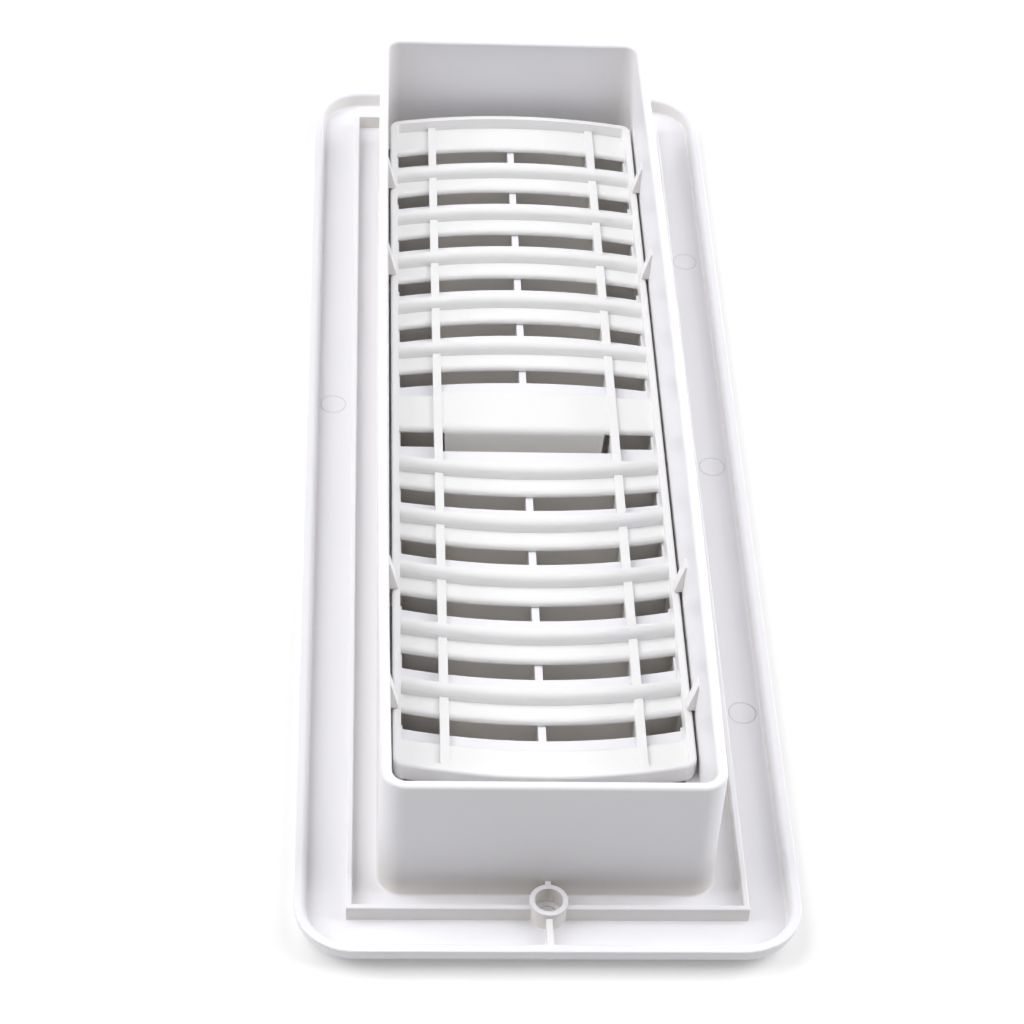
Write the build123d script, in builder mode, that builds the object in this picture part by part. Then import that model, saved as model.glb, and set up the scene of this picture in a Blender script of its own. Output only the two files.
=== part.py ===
"""Floor register in white plastic, lying on its face as it does on a table.

The underside is up: +Z points towards the open end of the collar, X runs across the register and Y along
it. The face rests on Z = 0, and the origin is the centre of the face. In use the part is turned over, and
its collar hangs in the floor opening.
"""

import os
from math import sqrt

from build123d import *

os.makedirs("parts", exist_ok=True)

# Collar that drops into the duct opening
collar_width = 66.6
collar_length = 248.0
collar_height = 34.3
collar_wall = 2.15
collar_corner_radius = 5.0
collar_bow = 0.75
collar_root_flare = 0.15
collar_root_radius = 0.5
collar_rim_radius = 0.7

# Faceplate: how far it stands out around the collar, and its rim
flange_side = 16.5
flange_end = 17.0
plate_corner_radius = 12.0
face_wall = 2.1
rim_height = 6.1
rim_wall = 2.35
rim_land = 0.4
rim_root_radius = 0.4
rim_outer_radius = 0.25
rim_inner_radius = 1.1

# Frame rib around the collar
frame_offset = 6.25
frame_height = 5.6
frame_wall = 1.2
frame_top_radius = 0.3

# Grille: rows of slots between deep fins, with a seat level for the damper
seat_height = 11.5
seat_wall = 2.0
seat_side_ledge = 2.65
fin_wall = 2.05
divider_wall = 1.6
side_divider_at = 20.0
slot_width = 6.4
slot_corner_radius = 0.4
centre_slot_reach = 4.1
first_row = 21.3
row_pitch = 16.88
row_radius = 134.0
inner_row_radius = 180.0

# End bosses and their ribs
boss_inset = 1.55
boss_bore = 5.6
boss_wall = 1.0
boss_height = 6.5
boss_bore_floor = 2.6
boss_dimple = 3.4
boss_dimple_depth = 0.4
boss_rib_wall = 1.2
boss_rib_height = 5.5
boss_stub_wall = 1.1

# Snap wedges that hold the damper down
first_wedge_row = 2
wedge_row_step = 2
wedge_width = 2.8
wedge_reach = 1.75
wedge_rise = 7.3
wedge_lip = 0.4
wedge_root = 0.6
wedge_clearance = 0.3
wedge_outset = 0.4
wedge_window_margin = 0.4

# Damper
running_gap = 0.3
side_clearance = 0.57
end_clearance = 1.5
damper_height = 4.2
damper_wall = 1.7
damper_corner_radius = 2.8
damper_rim_radius = 0.6
damper_end_lap = 2.15
cover_wall = 1.3
cover_lap = 1.6
centre_cover_lap = 2.6
cover_edge_radius = 1.1
ridge_wall = 2.3
ridge_inset = 2.9
ridge_crown_radius = 1.7
ridge_back_radius = 0.3
stringer_wall = 1.9
stringer_height = 2.1

# Thumb tab, which reaches down to the face
tab_wall = 2.0
tab_crown_radius = 1.8
tab_end_draft = 0.6
tab_side_clearance = 1.0
tab_offset = -0.3
tab_clearance = 0.28
tab_recess = 0.4

# Where the photograph shows the damper, measured from shut
damper_shift = 5.55

# Faceplate sizes that follow
plate_width = collar_width + 2 * flange_side
plate_length = collar_length + 2 * flange_end
frame_width = collar_width + 2 * frame_offset
frame_length = collar_length + 2 * frame_offset
boss_diameter = boss_bore + 2 * boss_wall
boss_at = frame_length / 2 - boss_inset
face_edge_radius = rim_height - rim_land
rim_root_radius = min(rim_root_radius, 0.3 * (rim_height - face_wall))
rim_outer_radius = min(rim_outer_radius, 0.3 * rim_wall, 0.8 * rim_land)
rim_inner_radius = min(rim_inner_radius, 0.5 * rim_wall, 0.6 * (rim_height - face_wall))
frame_top_radius = min(frame_top_radius, 0.4 * frame_wall)

# Damper and grille sizes that follow
collar_inner_half = collar_width / 2 - collar_wall
collar_inner_half_length = collar_length / 2 - collar_wall
damper_half_width = collar_inner_half - side_clearance
damper_travel = row_pitch / 2
last_row_limit = collar_inner_half_length - end_clearance - damper_travel - damper_end_lap - slot_width / 2
rows_per_end = 1 + int((last_row_limit - first_row) / row_pitch)
row_centres = [first_row + row_pitch * row for row in range(rows_per_end)]
wedge_rows = range(first_wedge_row, rows_per_end, wedge_row_step)
seat_end = row_centres[-1] + slot_width / 2 + fin_wall
damper_half_length = row_centres[-1] + slot_width / 2 + damper_end_lap
slot_reach = collar_inner_half - seat_side_ledge
outer_cell = (side_divider_at + divider_wall / 2, slot_reach)
inner_cell = (divider_wall / 2, side_divider_at - divider_wall / 2)
damper_bottom = seat_height + running_gap
damper_top = damper_bottom + damper_height
cover_top = damper_bottom + cover_wall
cover_length = slot_width + 2 * cover_lap
cover_reach = damper_half_width - damper_wall / 2
wedge_ledge = damper_top + wedge_clearance
ridge_crown_radius = min(ridge_crown_radius, 0.75 * ridge_wall)
cover_edge_radius = min(cover_edge_radius, 0.85 * cover_wall)
damper_rim_radius = min(damper_rim_radius, 0.4 * damper_wall)

# Tab sizes that follow: its opening is as long as its travel
tab_opening_reach = (damper_travel + tab_wall) / 2 + tab_clearance
tab_near = tab_clearance - tab_opening_reach
tab_half_width = inner_cell[1] - tab_side_clearance
tab_crown_radius = min(tab_crown_radius, 0.9 * tab_wall)
tab_left, tab_right = tab_offset - tab_half_width, tab_offset + tab_half_width


def arc_drop(radius, x):
    """How far a row's arc has fallen from its apex, at a distance x from the middle."""
    return radius - sqrt(radius**2 - x**2)


def radius_of(row):
    """The row beside the middle is flatter than the others."""
    return inner_row_radius if row == 0 else row_radius


def arc_points(x_from, x_to, apex, radius, bow=1):
    """Three points of a row's arc, which bows towards +Y or, with a bow of -1, towards -Y."""
    return [(x, apex - bow * arc_drop(radius, x)) for x in (x_from, (x_from + x_to) / 2, x_to)]


def curved_cell(x_from, x_to, low, low_radius, high, high_radius, bow=1):
    """Draw a cell between two arcs, with straight ends."""
    low_points = arc_points(x_from, x_to, low, low_radius, bow)
    high_points = arc_points(x_to, x_from, high, high_radius, bow)
    with BuildLine() as outline:
        ThreePointArc(*low_points)
        Line(low_points[-1], high_points[0])
        ThreePointArc(*high_points)
        Line(high_points[-1], low_points[0])
    make_face(outline.edges())


def straight_cell(x_from, x_to, low, high):
    """Draw a cell with straight edges."""
    with Locations(((x_from + x_to) / 2, (low + high) / 2)):
        Rectangle(x_to - x_from, high - low)


def bowed_outline(half_width, half_length):
    """Draw an outline with straight sides, and ends that follow the rows' arcs."""
    far_end = arc_points(-half_width, half_width, half_length, row_radius)
    near_end = arc_points(half_width, -half_width, -half_length, row_radius, bow=-1)
    with BuildLine() as outline:
        ThreePointArc(*far_end)
        Line(far_end[-1], near_end[0])
        ThreePointArc(*near_end)
        Line(near_end[-1], far_end[0])
    make_face(outline.edges())


def collar_outline(half_width, half_length, corner, bow):
    """Draw the collar's outline, its long sides bowed outwards by a given amount."""
    side_end = half_length - corner
    end_side = half_width - corner
    with BuildLine() as outline:
        for side in (-1, 1):
            side_from, side_to = (side * half_width, -side_end), (side * half_width, side_end)
            if bow > 0:
                ThreePointArc(side_from, (side * (half_width + bow), 0), side_to)
            else:
                Line(side_from, side_to)
            Line((-end_side, side * half_length), (end_side, side * half_length))
            for end in (-1, 1):
                centre = (side * end_side, end * side_end)
                start = 0 if side > 0 else 180
                turn = 90 * side * end
                CenterArc(centre, corner, start, turn)
    make_face(outline.edges())


def collar_block(inset, root_flare):
    """Make the block inside the collar's outer or inner faces, from the face wall to its open end."""
    half_width, half_length = collar_width / 2 - inset, collar_length / 2 - inset
    corner = collar_corner_radius - inset
    with BuildPart() as block:
        with BuildSketch(Plane.XY.offset(face_wall)):
            collar_outline(half_width + root_flare, half_length + root_flare, corner, 0)
        with BuildSketch(Plane.XY.offset(damper_top)):
            collar_outline(half_width, half_length, corner, 0)
        loft(ruled=True)
        with BuildSketch(Plane.XY.offset(damper_top)):
            collar_outline(half_width, half_length, corner, 0)
        with BuildSketch(Plane.XY.offset(collar_height)):
            collar_outline(half_width, half_length, corner, collar_bow)
        loft(ruled=True)
    return block.part


def curved_cover(near_edge, far_edge, radius, bow, rounded):
    """Make one cover of the damper, its near and far edges rounded over on top where asked."""
    with BuildPart() as plate:
        with BuildSketch(Plane.XY.offset(damper_bottom)):
            curved_cell(-cover_reach, cover_reach, near_edge, radius, far_edge, radius, bow)
        extrude(amount=cover_wall)
        long_edges = plate.edges().group_by(Axis.Z)[-1].filter_by(GeomType.CIRCLE).sort_by(Axis.Y)
        fillet([edge for edge, wanted in zip(long_edges, rounded) if wanted], cover_edge_radius)
    return plate.part


def straight_cover(x_from, x_to, far_edge):
    """Make one piece of the middle cover, which starts at the tab's near face, rounded over on top."""
    with BuildPart() as plate:
        with BuildSketch(Plane.XY.offset(damper_bottom)):
            straight_cell(x_from, x_to, tab_near, far_edge)
        extrude(amount=cover_wall)
        fillet(plate.edges().group_by(Axis.Z)[-1].filter_by(Axis.X), cover_edge_radius)
    return plate.part


def ridge(far_edge, radius, bow):
    """Make one ridge of the damper, its near side rounded over."""
    with BuildPart() as upright:
        with BuildSketch(Plane.XY.offset(damper_bottom)):
            curved_cell(-cover_reach, cover_reach, far_edge - ridge_wall, radius, far_edge, radius, bow)
        extrude(amount=damper_height)
        crown = upright.edges().group_by(Axis.Z)[-1].filter_by(GeomType.CIRCLE).sort_by(Axis.Y)
        fillet(crown[0], ridge_crown_radius)
        back = upright.edges().group_by(Axis.Z)[-1].filter_by(GeomType.CIRCLE).sort_by(Axis.Y)
        fillet(back[-1], ridge_back_radius)
    return upright.part


# Slots that go right through, first in the quarter with X and Y above zero
with BuildSketch() as slots:
    for row, centre in enumerate(row_centres):
        low, high = centre - slot_width / 2, centre + slot_width / 2
        curved_cell(*inner_cell, low, radius_of(row), high, radius_of(row))
        curved_cell(*outer_cell, low, radius_of(row), high, radius_of(row))
    straight_cell(*outer_cell, -centre_slot_reach, centre_slot_reach)
    fillet(slots.vertices().group_by(Axis.X)[-1], slot_corner_radius)
    mirror(about=Plane.YZ)
    mirror(about=Plane.XZ)
    Rectangle(2 * inner_cell[1], 2 * tab_opening_reach)

# Blind channels between the fins, open to the face and closed by the seat level
with BuildSketch() as channels:
    for row, centre in enumerate(row_centres):
        high = centre - slot_width / 2 - fin_wall
        if row > 0:
            low = row_centres[row - 1] + slot_width / 2 + fin_wall
            curved_cell(*inner_cell, low, radius_of(row - 1), high, radius_of(row))
            curved_cell(*outer_cell, low, radius_of(row - 1), high, radius_of(row))
        else:
            for cell, opening in ((inner_cell, tab_opening_reach), (outer_cell, centre_slot_reach)):
                top = arc_points(*cell, high, radius_of(row))
                low = opening + fin_wall
                with BuildLine():
                    ThreePointArc(*top)
                    Polyline(top[-1], (cell[1], low), (cell[0], low), top[0])
                make_face()
    mirror(about=Plane.YZ)
    mirror(about=Plane.XZ)

collar_outside = collar_block(0, collar_root_flare)
collar_inside = collar_block(collar_wall, 0)

with BuildPart() as frame_rib:
    with BuildSketch(Plane.XY.offset(face_wall)):
        Rectangle(frame_width, frame_length)
        Rectangle(frame_width - 2 * frame_wall, frame_length - 2 * frame_wall, mode=Mode.SUBTRACT)
    extrude(amount=frame_height - face_wall)
    fillet(frame_rib.edges().group_by(Axis.Z)[-1], frame_top_radius)

with BuildPart() as faceplate:
    # Tray: the face with its rim
    with BuildSketch():
        RectangleRounded(plate_width, plate_length, plate_corner_radius)
    extrude(amount=rim_height)
    with BuildSketch(Plane.XY.offset(face_wall)):
        RectangleRounded(
            plate_width - 2 * rim_wall, plate_length - 2 * rim_wall, plate_corner_radius - rim_wall
        )
    extrude(amount=rim_height - face_wall, mode=Mode.SUBTRACT)
    flat_faces = faceplate.faces().filter_by(Axis.Z).group_by(Axis.Z)
    fillet(flat_faces[1].edges(), rim_root_radius)
    fillet(faceplate.edges().group_by(Axis.Z)[0], face_edge_radius)
    fillet(faceplate.faces().sort_by(Axis.Z)[-1].outer_wire().edges(), rim_outer_radius)
    fillet(faceplate.faces().sort_by(Axis.Z)[-1].inner_wires().edges(), rim_inner_radius)

    # Collar, filleted where it leaves the face and around its open end
    add(collar_outside)
    root_edges = faceplate.edges(Select.LAST).filter_by_position(Axis.Z, face_wall, face_wall)
    fillet(root_edges, collar_root_radius)
    add(collar_inside, mode=Mode.SUBTRACT)
    fillet(faceplate.edges().group_by(Axis.Z)[-1], collar_rim_radius)

    # Frame rib and end bosses, each boss with a rib to the rim and a stub to the collar
    add(frame_rib.part)
    boss_rib_end = plate_length / 2 - rim_wall / 2
    boss_stub_end = collar_length / 2 - collar_wall / 2
    for end in (-1, 1):
        with BuildSketch(Plane.XY.offset(face_wall)):
            with Locations((0, end * boss_at)):
                Circle(boss_diameter / 2)
            with Locations((0, end * (boss_at + boss_stub_end) / 2)):
                Rectangle(boss_stub_wall, boss_at - boss_stub_end)
        extrude(amount=boss_height - face_wall)
        with BuildSketch(Plane.XY.offset(face_wall)):
            with Locations((0, end * (boss_at + boss_rib_end) / 2)):
                Rectangle(boss_rib_wall, boss_rib_end - boss_at)
        extrude(amount=boss_rib_height - face_wall)

    # Seat block inside the collar, then its slots and channels
    with BuildSketch(Plane.XY.offset(face_wall)):
        bowed_outline(collar_inner_half + collar_wall / 2, seat_end)
    extrude(amount=seat_height - face_wall)
    add(slots.sketch)
    extrude(amount=seat_height, mode=Mode.SUBTRACT)
    add(channels.sketch)
    extrude(amount=seat_height - seat_wall, mode=Mode.SUBTRACT)

    # Snap wedges, each over a window in the end of its slot
    window_from = slot_reach - slot_corner_radius
    window_reach = wedge_width / 2 + wedge_window_margin
    for row in wedge_rows:
        wedge_at = row_centres[row] - arc_drop(row_radius, slot_reach) + wedge_outset
        for end in (-1, 1):
            window_low = end * wedge_at - window_reach
            window_high = end * wedge_at + window_reach
            with BuildSketch():
                straight_cell(window_from, collar_inner_half, window_low, window_high)
                mirror(about=Plane.YZ)
            extrude(amount=seat_height, mode=Mode.SUBTRACT)
            with BuildSketch(Plane.XZ.offset(-end * wedge_at)):
                with BuildLine():
                    Polyline(
                        (collar_inner_half + wedge_root, wedge_ledge),
                        (collar_inner_half - wedge_reach, wedge_ledge),
                        (collar_inner_half - wedge_reach, wedge_ledge + wedge_lip),
                        (collar_inner_half, wedge_ledge + wedge_rise),
                        (collar_inner_half + wedge_root, wedge_ledge + wedge_rise),
                        close=True,
                    )
                make_face()
                mirror(about=Plane.YZ)
            extrude(amount=wedge_width / 2, both=True)

    # Boss bores, blind, each with a dimple in its floor
    boss_bore_depth = boss_height - boss_bore_floor
    for end in (-1, 1):
        with Locations((0, end * boss_at, boss_height)):
            CounterBoreHole(
                boss_dimple / 2, boss_bore / 2, boss_bore_depth, boss_bore_depth + boss_dimple_depth
            )

faceplate.part.label = "faceplate"
export_step(faceplate.part, "parts/faceplate.step")

# The damper is drawn shut, centred on the face, then moved to where the photograph shows it
with BuildPart() as tab:
    with BuildSketch(Plane.XZ.offset(-tab_near)):
        with BuildLine():
            Polyline(
                (tab_right, cover_top),
                (tab_right, damper_bottom),
                (tab_right - tab_end_draft, tab_recess),
                (tab_left + tab_end_draft, tab_recess),
                (tab_left, damper_bottom),
                (tab_left, cover_top),
                close=True,
            )
        make_face()
    extrude(amount=-tab_wall)
    top_edges = tab.edges().group_by(Axis.Z)[-1].filter_by(Axis.X).sort_by(Axis.Y)
    fillet(top_edges[0], tab_crown_radius)

with BuildPart() as damper:
    # Rails and end walls
    with BuildSketch(Plane.XY.offset(damper_bottom)) as walls:
        bowed_outline(damper_half_width, damper_half_length)
        fillet(walls.vertices(), damper_corner_radius)
        offset(amount=-damper_wall, mode=Mode.SUBTRACT)
    extrude(amount=damper_height)
    fillet(damper.faces().sort_by(Axis.Z)[-1].outer_wire().edges(), damper_rim_radius)

    # Covers, one over each row when the damper is shut, the outermost ones reaching to the end walls
    end_cover_edge = damper_half_length - damper_wall / 2
    for row, centre in enumerate(row_centres):
        near_edge, far_edge = centre - cover_length / 2, centre + cover_length / 2
        outermost = row == rows_per_end - 1
        if outermost:
            far_edge = end_cover_edge
        add(curved_cover(near_edge, far_edge, radius_of(row), 1, (True, not outermost)))
        add(curved_cover(-far_edge, -near_edge, radius_of(row), -1, (not outermost, True)))

    # Middle cover, in three pieces, with a notch for the tab's crown
    add(straight_cover(-cover_reach, -side_divider_at, centre_slot_reach + centre_cover_lap))
    add(straight_cover(-side_divider_at, side_divider_at, tab_opening_reach + centre_cover_lap))
    add(straight_cover(side_divider_at, cover_reach, centre_slot_reach + centre_cover_lap))
    with BuildSketch(Plane.XY.offset(damper_bottom)):
        straight_cell(tab_left, tab_right, tab_near, tab_near + tab_crown_radius)
    extrude(amount=cover_wall, mode=Mode.SUBTRACT)

    # Ridges across all covers but those at the ends and in the middle
    for row, centre in enumerate(row_centres[:-1]):
        for end in (-1, 1):
            far_edge = end * centre + cover_length / 2 - ridge_inset
            add(ridge(far_edge, radius_of(row), end))

    # Lengthwise stringers
    stringer_end = damper_half_length - damper_wall / 2 - arc_drop(row_radius, side_divider_at)
    with BuildSketch(Plane.XY.offset(damper_bottom)):
        with Locations((-side_divider_at, 0), (side_divider_at, 0)):
            Rectangle(stringer_wall, 2 * stringer_end)
    extrude(amount=stringer_height)
    add(tab.part)

damper.part.label = "damper"
damper.part.position += (0, damper_shift, 0)
export_step(damper.part, "parts/damper.step")
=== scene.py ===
from math import cos, pi, radians, sin

import bpy
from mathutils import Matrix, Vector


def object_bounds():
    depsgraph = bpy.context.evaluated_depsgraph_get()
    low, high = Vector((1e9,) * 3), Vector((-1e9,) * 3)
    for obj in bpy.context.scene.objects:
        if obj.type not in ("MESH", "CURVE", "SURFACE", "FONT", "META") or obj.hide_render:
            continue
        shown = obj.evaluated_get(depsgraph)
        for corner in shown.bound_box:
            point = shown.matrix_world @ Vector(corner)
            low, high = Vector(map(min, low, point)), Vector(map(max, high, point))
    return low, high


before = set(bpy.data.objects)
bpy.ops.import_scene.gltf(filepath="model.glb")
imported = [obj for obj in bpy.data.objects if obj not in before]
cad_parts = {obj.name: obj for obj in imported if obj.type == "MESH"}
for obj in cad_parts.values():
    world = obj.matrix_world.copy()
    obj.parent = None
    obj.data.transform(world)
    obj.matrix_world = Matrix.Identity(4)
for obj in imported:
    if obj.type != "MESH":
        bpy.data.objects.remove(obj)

cad_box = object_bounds()

# Camera, standing where the photograph was taken from
camera_place = (-0.0400, -0.4675, 0.4388)
camera_turn = (46.033, -2.836, -1.920)
camera_lens = 98.18
camera_nearest = 0.01
sensor_width = 36.0

# Table: white, with a glow that grows between two distances, and a warm grey painted shade under the
# register
table_size = 6.0
table_drop = 0.00002
table_white = (0.80, 0.80, 0.80, 1.0)
table_painted_shade = (0.72, 0.66, 0.60, 1.0)
table_roughness = 0.9
table_glow = 0.21
far_table_glow = 1.0
glow_grows_from = 0.35
glow_grows_to = 1.3
painted_shade_inset = 0.014

# Light: a dim sky, and softboxes by their turn from straight behind, their height angle and their watts
sky_colour = (1.0, 1.0, 1.0, 1.0)
sky_level = 0.10
softbox_distance = 1.4
softbox_size = 0.8
softboxes = {
    "left": (90, 58, 4.2),
    "left_low": (90, 32, 7.9),
    "left_front": (135, 58, 1.9),
    "left_behind": (45, 58, 4.6),
    "right": (270, 58, 6.0),
    "right_low": (270, 32, 7.6),
    "right_behind": (315, 12, 5.0),
}

# Plastic of the two mouldings
faceplate_colour = (0.870, 0.863, 0.897, 1.0)
# The crease colours are painted shade: the darker, warmer tone mixed into deep upright walls
faceplate_painted_shade = (0.78, 0.755, 0.715, 1.0)
faceplate_roughness = 0.36
damper_colour = (0.880, 0.877, 0.880, 1.0)
damper_painted_shade = (0.85, 0.84, 0.83, 1.0)
damper_roughness = 0.34
plastic_ior = 1.47
bump_strength = 1.0
wave_depth = 0.00002
clouds_per_metre = 34.0
noise_middle = 0.5
painted_shade_samples = 3

# Marks that the ejector pins left on the floor of the faceplate
pin_radius = 0.00295
pin_line = 0.00022
pin_depth = 0.00016
flange_level = 0.0021
pin_marks = [(0.0435, 0.0006), (0.0430, 0.0755), (0.04345, -0.0754), (-0.0439, 0.0204)]

# Numbers of the Mix node's sockets for colours, which share their names with its other sockets
mix_share = 0
mix_first = 6
mix_second = 7
mix_result = 2


def add_group(name, inputs, outputs):
    """Start a node group with named sockets; each input has a name, a kind and a starting value."""
    group = bpy.data.node_groups.new(name, "ShaderNodeTree")
    for socket_name, kind, value in inputs:
        socket = group.interface.new_socket(socket_name, in_out="INPUT", socket_type="NodeSocket" + kind)
        socket.default_value = value
    for socket_name, kind in outputs:
        group.interface.new_socket(socket_name, in_out="OUTPUT", socket_type="NodeSocket" + kind)
    return group, group.nodes.new("NodeGroupInput"), group.nodes.new("NodeGroupOutput")


def add_node(tree, kind, values=None, **properties):
    """Add a node, set its properties, and set its inputs by name or number."""
    node = tree.nodes.new(kind)
    for name, value in properties.items():
        setattr(node, name, value)
    for name, value in (values or {}).items():
        node.inputs[name].default_value = value
    return node


def maths(tree, operation, first, second=None, third=None):
    """Add a Math node; each term is a number or another node's output."""
    node = tree.nodes.new("ShaderNodeMath")
    node.operation = operation
    for socket, term in zip(node.inputs, (first, second, third)):
        if isinstance(term, (int, float)):
            socket.default_value = term
        elif term is not None:
            tree.links.new(term, socket)
    return node.outputs[0]


# Moulded surface: soft waves, fine grain and faint changes of shade and gloss
def make_moulded_surface():
    inputs = [
        ("Colour", "Color", faceplate_colour),
        ("Shade Spread", "Float", 0.02),
        ("Gloss Roughness", "Float", faceplate_roughness),
        ("Roughness Spread", "Float", 0.06),
        ("Wave Size", "Float", 0.004),
        ("Grain Size", "Float", 0.0004),
        ("Grain Share", "Float", 0.3),
    ]
    outputs = [("Colour", "Color"), ("Roughness", "Float"), ("Height", "Float")]
    group, given, result = add_group("Moulded Surface", inputs, outputs)
    links = group.links
    place_on_piece = group.nodes.new("ShaderNodeTexCoord").outputs["Object"]

    wave = add_node(group, "ShaderNodeTexNoise", {"Detail": 2.0, "Roughness": 0.5})
    links.new(place_on_piece, wave.inputs["Vector"])
    links.new(maths(group, "DIVIDE", 1.0, given.outputs["Wave Size"]), wave.inputs["Scale"])
    grain = add_node(group, "ShaderNodeTexNoise", {"Detail": 1.0, "Roughness": 0.6})
    links.new(place_on_piece, grain.inputs["Vector"])
    links.new(maths(group, "DIVIDE", 1.0, given.outputs["Grain Size"]), grain.inputs["Scale"])
    cloud_values = {"Scale": clouds_per_metre, "Detail": 3.0, "Roughness": 0.55}
    cloud = add_node(group, "ShaderNodeTexNoise", cloud_values)
    links.new(place_on_piece, cloud.inputs["Vector"])

    cloud_about_zero = maths(group, "SUBTRACT", cloud.outputs["Fac"], noise_middle)
    shade = maths(group, "MULTIPLY_ADD", cloud_about_zero, given.outputs["Shade Spread"], 1.0)
    tint = add_node(group, "ShaderNodeVectorMath", operation="SCALE")
    links.new(given.outputs["Colour"], tint.inputs["Vector"])
    links.new(shade, tint.inputs["Scale"])
    links.new(tint.outputs["Vector"], result.inputs["Colour"])

    wave_about_zero = maths(group, "SUBTRACT", wave.outputs["Fac"], noise_middle)
    both = maths(group, "ADD", cloud_about_zero, wave_about_zero)
    spread = given.outputs["Roughness Spread"]
    roughness = maths(group, "MULTIPLY_ADD", both, spread, given.outputs["Gloss Roughness"])
    links.new(roughness, result.inputs["Roughness"])
    grain_share = given.outputs["Grain Share"]
    height = maths(group, "MULTIPLY_ADD", grain.outputs["Fac"], grain_share, wave.outputs["Fac"])
    links.new(height, result.inputs["Height"])
    return group


# Pin mark: a fine ring around one point
def make_pin_mark():
    inputs = [
        ("Centre", "Vector", (0.0, 0.0, 0.0)),
        ("Radius", "Float", pin_radius),
        ("Line Width", "Float", pin_line),
    ]
    group, given, result = add_group("Pin Mark", inputs, [("Ring", "Float")])
    links = group.links
    place_on_piece = group.nodes.new("ShaderNodeTexCoord").outputs["Object"]
    distance = add_node(group, "ShaderNodeVectorMath", operation="DISTANCE")
    links.new(place_on_piece, distance.inputs[0])
    links.new(given.outputs["Centre"], distance.inputs[1])
    past_radius = maths(group, "SUBTRACT", distance.outputs["Value"], given.outputs["Radius"])
    off_ring = maths(group, "ABSOLUTE", past_radius)
    faded = maths(group, "DIVIDE", off_ring, given.outputs["Line Width"])
    ring = maths(group, "MAXIMUM", maths(group, "SUBTRACT", 1.0, faded), 0.0)
    links.new(ring, result.inputs["Ring"])
    return group


# Painted crease shade: upright walls are painted a little darker and warmer where they stand deep in the
# moulding, as shade worked out from how shut in they are
def make_painted_crease_shade():
    inputs = [
        ("Colour", "Color", faceplate_colour),
        ("Painted Shade Colour", "Color", faceplate_painted_shade),
        ("Reach", "Float", 0.014),
        ("Gain", "Float", 1.2),
    ]
    group, given, result = add_group("Painted Crease Shade", inputs, [("Colour", "Color")])
    links = group.links
    open_share = add_node(group, "ShaderNodeAmbientOcclusion", samples=painted_shade_samples, only_local=True)
    links.new(given.outputs["Reach"], open_share.inputs["Distance"])
    facing = add_node(group, "ShaderNodeSeparateXYZ")
    links.new(group.nodes.new("ShaderNodeNewGeometry").outputs["Normal"], facing.inputs["Vector"])
    upright = maths(group, "SUBTRACT", 1.0, maths(group, "ABSOLUTE", facing.outputs["Z"]))
    hidden_share = maths(group, "SUBTRACT", 1.0, open_share.outputs["AO"])
    depth = maths(group, "MINIMUM", maths(group, "MULTIPLY", hidden_share, given.outputs["Gain"]), 1.0)
    # Mix in the painted shade colour on upright walls by how shut in they are
    painted_shade_node = add_node(group, "ShaderNodeMix", data_type="RGBA")
    links.new(maths(group, "MULTIPLY", depth, upright), painted_shade_node.inputs[mix_share])
    links.new(given.outputs["Colour"], painted_shade_node.inputs[mix_first])
    links.new(given.outputs["Painted Shade Colour"], painted_shade_node.inputs[mix_second])
    links.new(painted_shade_node.outputs[mix_result], result.inputs["Colour"])
    return group


def white_plastic(name, colour, painted_shade_colour, roughness, marks=()):
    """Make one moulding's plastic from the shared groups, with pin marks where they are given."""
    material = bpy.data.materials.new(name)
    material.use_nodes = True
    tree = material.node_tree
    links = tree.links
    shader = tree.nodes["Principled BSDF"]
    shader.inputs["IOR"].default_value = plastic_ior
    surface_values = {"Colour": colour, "Gloss Roughness": roughness}
    surface = add_node(tree, "ShaderNodeGroup", surface_values, node_tree=moulded_surface)
    # Painted shade: deep upright walls take the darker, warmer crease colour
    painted_shade_values = {"Painted Shade Colour": painted_shade_colour}
    painted_shade_node = add_node(tree, "ShaderNodeGroup", painted_shade_values, node_tree=painted_crease_shade)
    links.new(surface.outputs["Colour"], painted_shade_node.inputs["Colour"])
    links.new(painted_shade_node.outputs["Colour"], shader.inputs["Base Color"])
    links.new(surface.outputs["Roughness"], shader.inputs["Roughness"])
    bump = add_node(tree, "ShaderNodeBump", {"Strength": bump_strength, "Distance": wave_depth})
    links.new(surface.outputs["Height"], bump.inputs["Height"])
    last_normal = bump.outputs["Normal"]
    if marks:
        rings = 0.0
        for x, y in marks:
            mark_values = {"Centre": (x, y, flange_level)}
            mark = add_node(tree, "ShaderNodeGroup", mark_values, node_tree=pin_mark)
            rings = maths(tree, "MAXIMUM", rings, mark.outputs["Ring"])
        pressed_values = {"Strength": bump_strength, "Distance": pin_depth}
        pressed = add_node(tree, "ShaderNodeBump", pressed_values, invert=True)
        links.new(rings, pressed.inputs["Height"])
        links.new(last_normal, pressed.inputs["Normal"])
        last_normal = pressed.outputs["Normal"]
    links.new(last_normal, shader.inputs["Normal"])
    return material


def seen_by_lens(tree):
    """1 for rays from the lens, or mirrored or refracted on their way, and 0 for rays that only light."""
    path = tree.nodes.new("ShaderNodeLightPath")
    direct = maths(tree, "ADD", path.outputs["Is Camera Ray"], path.outputs["Is Glossy Ray"])
    return maths(tree, "MINIMUM", maths(tree, "ADD", direct, path.outputs["Is Transmission Ray"]), 1.0)


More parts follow.
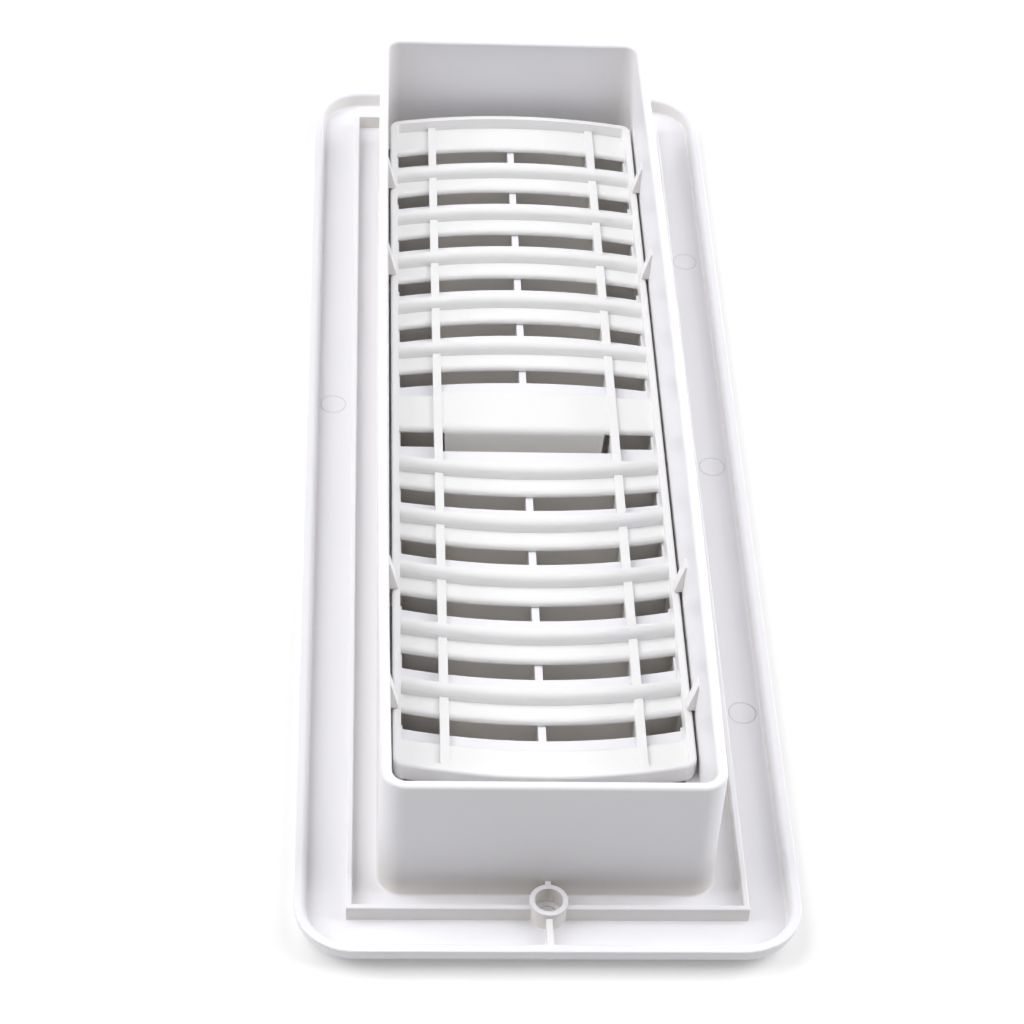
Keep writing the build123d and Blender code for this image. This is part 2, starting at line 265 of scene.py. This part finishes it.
def pale_table():
    """Make the table's paint: a warm grey painted shade under the register, and white with a glow to the
    lens round it.
    """
    paint = bpy.data.materials.new("Pale Table")
    paint.use_nodes = True
    tree = paint.node_tree
    links = tree.links
    shader = tree.nodes["Principled BSDF"]
    shader.inputs["Roughness"].default_value = table_roughness
    shader.inputs["Specular IOR Level"].default_value = 0.0
    shader.inputs["Emission Color"].default_value = sky_colour
    place_on_table = tree.nodes.new("ShaderNodeTexCoord").outputs["Object"]
    split = add_node(tree, "ShaderNodeSeparateXYZ")
    links.new(place_on_table, split.inputs["Vector"])
    past_edges = []
    for axis, edge in zip("XY", cad_box[1]):
        reach = maths(tree, "ABSOLUTE", split.outputs[axis])
        past_edges.append(maths(tree, "GREATER_THAN", reach, edge - painted_shade_inset))
    outside = maths(tree, "MAXIMUM", *past_edges)
    # Painted shade: the table under the register is a warm grey where only shade falls
    painted_shade_or_white_values = {mix_first: table_painted_shade, mix_second: table_white}
    painted_shade_or_white = add_node(tree, "ShaderNodeMix", painted_shade_or_white_values, data_type="RGBA")
    links.new(outside, painted_shade_or_white.inputs[mix_share])
    links.new(painted_shade_or_white.outputs[mix_result], shader.inputs["Base Color"])
    distance = add_node(tree, "ShaderNodeVectorMath", operation="LENGTH")
    links.new(place_on_table, distance.inputs["Vector"])
    glow_range = {
        "From Min": glow_grows_from,
        "From Max": glow_grows_to,
        "To Min": table_glow,
        "To Max": far_table_glow,
    }
    growth = add_node(tree, "ShaderNodeMapRange", glow_range)
    links.new(distance.outputs["Value"], growth.inputs["Value"])
    seen_outside = maths(tree, "MULTIPLY", seen_by_lens(tree), outside)
    glow = maths(tree, "MULTIPLY", seen_outside, growth.outputs["Result"])
    links.new(glow, shader.inputs["Emission Strength"])
    return paint


def add_softbox(name, turn, height_angle, power):
    """Add a square softbox at its place round the register, turned towards the origin."""
    level_reach = softbox_distance * cos(height_angle)
    location = (-level_reach * sin(turn), level_reach * cos(turn), softbox_distance * sin(height_angle))
    bpy.ops.object.select_all(action="DESELECT")
    bpy.ops.object.light_add(type="AREA", location=location, rotation=(height_angle - pi / 2, 0, turn))
    lamp = bpy.context.object
    lamp.name = name
    lamp.data.shape = "SQUARE"
    lamp.data.size = softbox_size
    lamp.data.energy = power


# Camera
bpy.ops.object.select_all(action="DESELECT")
bpy.ops.object.camera_add(location=camera_place, rotation=[radians(angle) for angle in camera_turn])
camera = bpy.context.object
camera.name = "camera"
camera.data.sensor_width = sensor_width
camera.data.lens = camera_lens
camera.data.clip_start = camera_nearest
bpy.context.scene.camera = camera

# Table
bpy.ops.object.select_all(action="DESELECT")
bpy.ops.mesh.primitive_plane_add(size=table_size, location=(0, 0, -table_drop))
bpy.ops.object.transform_apply(location=True)
table = bpy.context.object
table.name = "table"
table.data.materials.append(pale_table())

# Sky: dim light all round, and white where the lens sees it
sky = bpy.data.worlds.new("Soft Sky")
bpy.context.scene.world = sky
sky.use_nodes = True
sky_tree = sky.node_tree
sky_node = sky_tree.nodes["Background"]
sky_node.inputs["Color"].default_value = sky_colour
level = maths(sky_tree, "MULTIPLY_ADD", seen_by_lens(sky_tree), 1.0 - sky_level, sky_level)
sky_tree.links.new(level, sky_node.inputs["Strength"])

# Softboxes
for name, (turn, height_angle, power) in softboxes.items():
    add_softbox("softbox_" + name, radians(turn), radians(height_angle), power)

# Finishes
moulded_surface = make_moulded_surface()
pin_mark = make_pin_mark()
painted_crease_shade = make_painted_crease_shade()
finishes = {
    "faceplate": white_plastic(
        "White Plastic Faceplate", faceplate_colour, faceplate_painted_shade, faceplate_roughness, pin_marks
    ),
    "damper": white_plastic("White Plastic Damper", damper_colour, damper_painted_shade, damper_roughness),
}
for node_name, finish in finishes.items():
    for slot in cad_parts[node_name].material_slots:
        slot.material = finish

# Colours shown as they are written
bpy.context.scene.view_settings.view_transform = "Standard"
